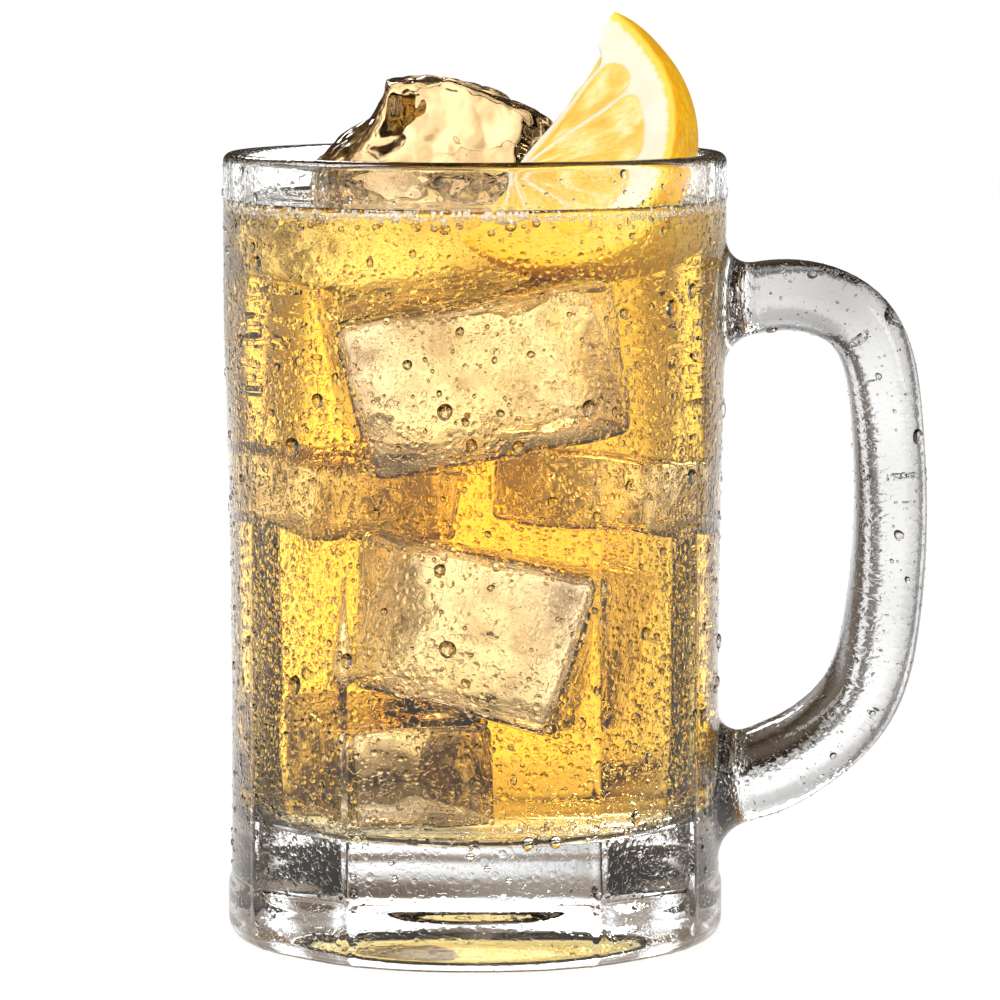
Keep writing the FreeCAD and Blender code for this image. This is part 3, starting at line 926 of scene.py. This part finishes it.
def glass_material():
    nt, co = material("pressed_glass")
    x, y, z = nt.add("SeparateXYZ", co).outputs
    r = nt.add("VectorMath", nt.add("CombineXYZ", x, y, 0.0), _operation="LENGTH").outputs["Value"]
    # dew lies on the outside of the wall, thickest where the drink is, and thin on the base and the handle;
    # the stops are at tenths of a metre, and for the height at sevenths
    outside_wall = nt.ramp(nt.times(r, 10.0), [(0.392, 0), (0.398, 1)])
    height = nt.ramp(nt.times(z, 7.0), [(0.06, 0.10), (0.135, 0.10), (0.2, 1), (0.83, 1), (0.862, 0.12)])
    on_handle = nt.ramp(nt.times(x, 10.0), [(0.43, 1), (0.47, 0.12)])
    aside = nt.ramp(nt.times(nt.maths("ABSOLUTE", x), 10.0), [(0.14, 0.34), (0.31, 1)])
    share = nt.times(outside_wall, height, aside, on_handle)
    wet = nt.ramp(nt.noise(co, 1050.0, 1.0), [(0.55, 0), (0.61, 1)], "EASE")
    drops = drop_layer(nt, co, 720.0, 0.7, DROPLET_HIGH)
    dew = nt.times(nt.maths("ADD", nt.times(wet, DEW_HIGH), drops), share)
    bump = nt.bump(nt.maths("ADD", dew, nt.times(nt.noise(co, 75.0), PRESSED_HIGH)))
    # painted shade: the handle's glass is tinted greyer than the mug, darkest at its top, in place of the
    # darker room it reflects
    lower = nt.maths("SUBTRACT", nt.maths("ADD", nt.noise(co, 28.0, 1.0), 0.3), nt.times(z, 4.0))
    is_grip = nt.ramp(nt.times(x, 10.0), [(0.425, 0), (0.455, 1)])
    tint_and_painted_shade = nt.mix(is_grip, (0.99, 0.992, 0.985), nt.ramp(lower, GRIP_PAINTED_SHADE))
    return nt.surface(Base_Color=tint_and_painted_shade, Roughness=0.0, IOR=GLASS_IOR, Normal=bump, Transmission_Weight=1.0)


def water_material():
    nt, co = material("dew_water")
    tone = nt.ramp(nt.noise(co, 90.0), [(0.3, 0.98), (0.7, 1)])
    return nt.surface(Base_Color=tone, Roughness=0.0, IOR=WATER_IOR, Transmission_Weight=1.0)


def froth_material():
    nt, co = material("froth")
    n = nt.noise(co, 700.0, 1.0)
    shade = nt.ramp(n, [(0.35, (1.0, 0.93, 0.80)), (0.65, (1.0, 0.99, 0.95))])
    bump = nt.bump(nt.times(n, 0.00008))
    return nt.surface(Base_Color=shade, Roughness=0.06, IOR=1.2, Normal=bump, Transmission_Weight=0.6)


def drink_material():
    nt, co = material("amber_drink")
    tone = nt.ramp(nt.noise(co, 60.0), [(0.3, (0.985, 0.98, 0.965)), (0.7, 1)])
    nt.feed(nt.out.inputs["Volume"], nt.add("VolumeAbsorption", Color=AMBER, Density=AMBER_DENSITY))
    return nt.surface(Base_Color=tone, Roughness=0.0, IOR=WATER_IOR, Transmission_Weight=1.0)


def ice_material(name, ior, sunk_tone, air_tone_painted_light, frost):
    nt, co = material(name)
    patch = nt.noise(co, 48.0)
    ripples, cracks = nt.noise(co, 300.0, 1.0, 0.6), nt.noise(co, 70.0, 1.0)
    bump = nt.bump(nt.maths("ADD", nt.times(ripples, 0.00085), nt.times(cracks, 0.0044)), 0.5)
    rough = nt.ramp(patch, [(0.38, 0.02 * (frost > 0)), (0.66, frost)])
    mist = nt.maths("ADD", nt.times(nt.noise(co, 130.0, 1.0, 0.7), 0.6), nt.times(patch, 0.4))
    # painted light: what stands in the air is tinted amber in its own colour, in place of the drink's light
    # showing up through it from below
    tone = nt.mix(at_level(nt, co, 2, 0, 1), sunk_tone, air_tone_painted_light)
    body = nt.mix(1.0, nt.ramp(mist, CLOUDS), tone, blend="MULTIPLY")
    return nt.surface(Base_Color=body, Roughness=rough, IOR=ior, Normal=bump, Transmission_Weight=1.0)


def lemon_material():
    nt, co = material("lemon")
    zest, pulp, cell, skin = (
        nt.add("Attribute", _attribute_name=name).outputs["Fac"] for name in ("zest", "pulp", "cell", "skin")
    )
    ray = nt.add("Attribute", _attribute_name="ray").outputs["Vector"]
    # the juice cells' own yellow with painted highlights: the palest streaks stand in for light shining on
    # the wet cells
    streak = nt.noise(ray, 1.6, 3.0, 0.6)
    juice = nt.ramp(nt.maths("MULTIPLY_ADD", streak, 0.6, nt.times(cell, 0.4)), JUICE_AND_SHEEN)
    rind = nt.ramp(nt.noise(co, 330.0, 3.0), RIND)
    soft = nt.noise(co, 160.0, 3.0)
    colour = nt.mix(pulp, nt.ramp(soft, PITHS), juice)
    colour = nt.mix(zest, colour, nt.mix(skin, CUT_ZEST, rind))
    # painted light: under the drink the lemon is mixed towards a brighter yellow, in place of light that
    # reaches it only weakly through glass and drink
    colour = nt.mix(at_level(nt, co, 1.5, 0.55, 0), colour, UNDER_DRINK_PAINTED_LIGHT)
    pores = nt.add("TexVoronoi", _feature="SMOOTH_F1", Vector=co, Scale=760.0, Smoothness=0.5)
    h = nt.times(pores.outputs["Distance"], skin, 0.00028)
    h = nt.maths("ADD", h, nt.times(nt.noise(ray, 3.0, 2.0), pulp, 0.00022))
    h = nt.maths("ADD", h, nt.times(soft, 0.00005))
    wet = nt.maths("SUBTRACT", nt.maths("MULTIPLY_ADD", pulp, -0.32, 0.5), nt.times(skin, 0.14))
    return nt.surface(
        Base_Color=colour, Roughness=wet, IOR=1.4, Normal=nt.bump(h, 0.9),
        Subsurface_Weight=0.6, Subsurface_Radius=(1.0, 0.6, 0.2), Subsurface_Scale=0.005,
    )


# -------- build
HOLLOW = 0.12  # how far the ice reaches into the drink that is cut round it


def piece(name, me, mat, slot, *nodes):
    me.materials.clear()
    me.materials.append(mat)
    obj = new_object(name, me)
    me.name = name
    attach(obj, "root")
    if nodes:
        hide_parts(*nodes)


def cut_away(target, cutter):
    """Takes one mesh out of another; returns the mesh that is left."""
    a, b = new_object("cut_a", target), new_object("cut_b", cutter)
    mod = a.modifiers.new("cut", "BOOLEAN")
    mod.operation, mod.solver, mod.object = "DIFFERENCE", "EXACT", b
    me = baked(a)
    bpy.data.objects.remove(b)
    return me


def hollow_for(me):
    return move_points(me.copy(), points_of(me) - normals_of(me) * HOLLOW)


def build():
    ice_out = ice_material("ice_clear", ICE_IOR, TOP_TONE, AIR_PAINTED_AMBER, 0.16)
    ice_in = ice_material("ice_sunk", SUNK_IOR, SUNK_TONE, SUNK_TONE, 0.0)
    piece("mug_glass", mug_mesh(), glass_material(), "mug_glass", "mug")
    top_ice, lemon = top_ice_mesh(), lemon_mesh()
    # the drink, with the hollows for the ice and the bubbles
    liquid = cut_away(drink_mesh(), hollow_for(top_ice))
    verts, faces = points_of(liquid).tolist(), faces_of(liquid)
    ices = [top_ice]
    for size, turns, at, narrow, seed in SUNK:
        me = keep_inside(put(ice_block(size, seed, narrow), turns, at))
        ices.append(me)
        hollow = hollow_for(me)
        add_shell(verts, faces, points_of(hollow), faces_of(hollow), True)
    for x, y, z, r in bubble_list(ices, lemon):
        add_ball(verts, faces, (x, y, z), r, 0.9, 0.34, True)
    piece("drink_liquid", mesh_from("drink_liquid", verts, faces), drink_material(), "drink", "drink")
    piece("ice_top_melted", top_ice, ice_out, "ice", "ice_top")
    for i, me in enumerate(ices[1:], 1):
        piece(f"ice_sunk_{i}", me, ice_in, "ice")
    piece("lemon_wedge_cut", lemon, lemon_material(), "lemon", "lemon_wedge")
    piece("dew_drops", drops_mesh(handle_rings()), water_material(), "mug_glass")
    piece("froth_beads", foam_mesh(), froth_material(), "drink")


# -------- the studio
GLOW = 2.4  # how bright the room is through glass, where 1 is white
GLOW_ON_LEMON = 5.0  # and how bright for light that reaches the lemon through glass
ROOM, ROOM_IN_GLOSS = 0.8, 0.07
# the room behind the mug: degrees to the right of straight back, and level, with dark flags and a strip at
# either side
FIELD = [
    (-180, 0.03), (-120, 0.04), (-85, 0.10), (-60, 0.45), (-54, 0.18), (-41, 0.14), (-37, 0.95), (-32, 0.95),
    (-28, 0.22), (-22, 0.26), (-18, 0.65), (-9, 0.8), (2, 1.0), (18, 1.0), (22, 0.22), (29, 0.18),
    (32, 0.95), (37, 0.95), (41, 0.14), (54, 0.18), (60, 0.45), (85, 0.10), (120, 0.04), (180, 0.03),
]
# the front of the room, as shares of half a turn from straight back
FRONT = [(0.42, 0.0), (0.55, 0.75)]
# the floor near the mug, which is what the base shows: painted light and shade that the floor glows with for
# rays through glass, darker flags, and a field that falls off to the left
FLOOR_PAINTED_FIELD = [
    (-180, 0.03), (-85, 0.06), (-60, 0.2), (-30, 0.02), (-27, 0.9), (-24, 0.9), (-22, 0.01), (-13, 0.02),
    (-9, 0.45), (-5, 0.5), (-1, 0.8), (4, 1.0), (9, 0.9), (13, 0.02), (22, 0.01), (24, 0.9),
    (27, 0.9), (30, 0.02), (60, 0.2), (85, 0.06), (180, 0.03),
]
# levels by the height over the horizon, straight overhead, and on the floor by the distance in half metres,
# where a painted shadow lies dark close round the mug
UP = [
    (0, 1), (0.06, 1), (0.15, 0.68), (0.3, 0.62), (0.42, 0.85), (0.52, 0.4), (0.6, 0.2), (0.72, 0.4),
    (0.9, 0.7),
]
OVERHEAD = [(0.62, 0.0), (0.8, 0.5)]
PAINTED_FLOOR_SHADE = [(0.06, 0.6), (0.08, 0.05), (0.13, 0.15), (0.17, 0.52), (0.24, 0.7), (0.4, 1.0)]
WARM = [(0.0, (1.0, 0.66, 0.38)), (0.7, 1)]  # dim light is warmer
FLOOR_WIDE, FLOOR_DROP = 3, 0.0002
LAMPS = [
    # name, place, power, width, height
    ("key", (-0.75, -0.7, 0.75), 5.0, 0.45, 0.7),
    ("fill", (0.9, -0.6, 0.45), 2.2, 0.35, 0.7),
    ("back", (-0.25, 0.9, 0.62), 3.0, 0.3, 0.2),
]
LAMP_AIM = Vector((0, 0, 0.08))
CAMERA_AT, CAMERA_DOWN, CAMERA_LENS = (0.00415, -0.912, 0.170), 6.12, 198.9


def directions(nt, x, y):
    """Where a direction lies round the room (0 to 1), what the front adds to it, and the light's path."""
    along = nt.maths("ARCTAN2", x, y)
    turned = nt.maths("MULTIPLY_ADD", along, 0.5 / math.pi, 0.5)
    # the front, which views from behind look towards, is bright only for light that was not reflected
    paths = nt.add("LightPath").outputs
    straight = nt.maths("LESS_THAN", paths["Glossy Depth"], 0.5)
    front = nt.ramp(nt.times(nt.maths("ABSOLUTE", along), 1 / math.pi), FRONT, "EASE")
    return turned, nt.times(front, straight), paths


def round_room(nt, turned, field):
    return nt.ramp(turned, [(0.5 + deg / 360, level) for deg, level in field], "EASE")


def make_world(scene):
    scene.world = bpy.data.worlds.new("studio")
    nt = Nodes(scene.world, "OutputWorld")
    x, y, z = nt.add("SeparateXYZ", nt.add("TexCoord").outputs["Generated"]).outputs
    turned, front, paths = directions(nt, x, y)
    field = nt.maths("MAXIMUM", round_room(nt, turned, FIELD), front)
    up = nt.ramp(nt.maths("MAXIMUM", z, 0.0), UP, "EASE")
    overhead = nt.ramp(nt.maths("MAXIMUM", z, 0.0), OVERHEAD, "EASE")
    through = nt.times(nt.maths("MAXIMUM", nt.times(field, up), overhead), GLOW)
    lit_through = nt.maths("GREATER_THAN", paths["Diffuse Depth"], 0.5)
    through = nt.mix(lit_through, through, GLOW_ON_LEMON, "FLOAT")
    level = nt.mix(paths["Is Glossy Ray"], ROOM, ROOM_IN_GLOSS, "FLOAT")
    level = nt.mix(paths["Is Transmission Ray"], level, through, "FLOAT")
    level = nt.mix(paths["Is Camera Ray"], level, 1.0, "FLOAT")
    nt.feed(nt.out.inputs[0], nt.add("Background", nt.ramp(level, WARM), level))


def make_floor():
    """White, with the object's shadow on it; through glass it glows with painted light: the same room as the
    world, and a painted shadow round the mug.
    """
    nt, co = material("studio_floor")
    x, y, _ = nt.add("SeparateXYZ", co).outputs
    turned, front, paths = directions(nt, x, nt.maths("SUBTRACT", y, WAIST * MM))
    far = nt.add("VectorMath", co, _operation="LENGTH").outputs["Value"]
    beyond = nt.ramp(nt.times(far, 2.0), [(0.3, 0), (0.42, 1)])
    field = nt.mix(beyond, round_room(nt, turned, FLOOR_PAINTED_FIELD), round_room(nt, turned, FIELD))
    field = nt.maths("MAXIMUM", field, front)
    # painted light: rays through glass see the floor glow with the room's field and a painted shadow round
    # the mug
    lit = nt.times(field, nt.ramp(nt.times(far, 2.0), PAINTED_FLOOR_SHADE, "EASE"), GLOW)
    strength = nt.mix(paths["Is Camera Ray"], lit, 1.05, "FLOAT")
    shine = nt.add("Emission", nt.ramp(strength, WARM), strength)
    plain = nt.add("BsdfDiffuse", nt.ramp(nt.noise(co, 30.0, 2.0), [(0.0, 0.90), (1.0, 0.93)]))
    see = nt.maths("MAXIMUM", nt.times(paths["Is Camera Ray"], 0.86), paths["Is Transmission Ray"])
    nt.feed(nt.out.inputs["Surface"], nt.add("MixShader", see, plain, shine))
    me = bpy.data.meshes.new("floor")
    turns = np.linspace(0, 2 * math.pi, 64, endpoint=False)
    rim = [(FLOOR_WIDE * math.cos(a), FLOOR_WIDE * math.sin(a), -FLOOR_DROP) for a in turns]
    me.from_pydata(rim, [], [tuple(range(len(rim)))])
    me.materials.append(nt.owner)
    new_object("floor", me)


def studio():
    scene = bpy.context.scene
    scene.view_settings.view_transform = "Standard"
    scene.cycles.max_bounces = 14
    scene.cycles.transmission_bounces = 14
    scene.cycles.transparent_max_bounces = 16
    make_world(scene)
    make_floor()
    for name, at, power, width, height in LAMPS:
        light = bpy.data.lights.new(name, "AREA")
        light.energy, light.shape, light.size, light.size_y = power, "RECTANGLE", width, height
        lamp = new_object(name, light)
        lamp.location = at
        lamp.rotation_euler = (LAMP_AIM - Vector(at)).to_track_quat("-Z", "Y").to_euler()
    cam = bpy.data.cameras.new("camera")
    cam.sensor_width, cam.lens, cam.clip_start = 36.0, CAMERA_LENS, 0.05
    scene.camera = new_object("camera", cam)
    scene.camera.location = CAMERA_AT
    scene.camera.rotation_euler = (math.radians(90 - CAMERA_DOWN), 0, 0)


build()
studio()
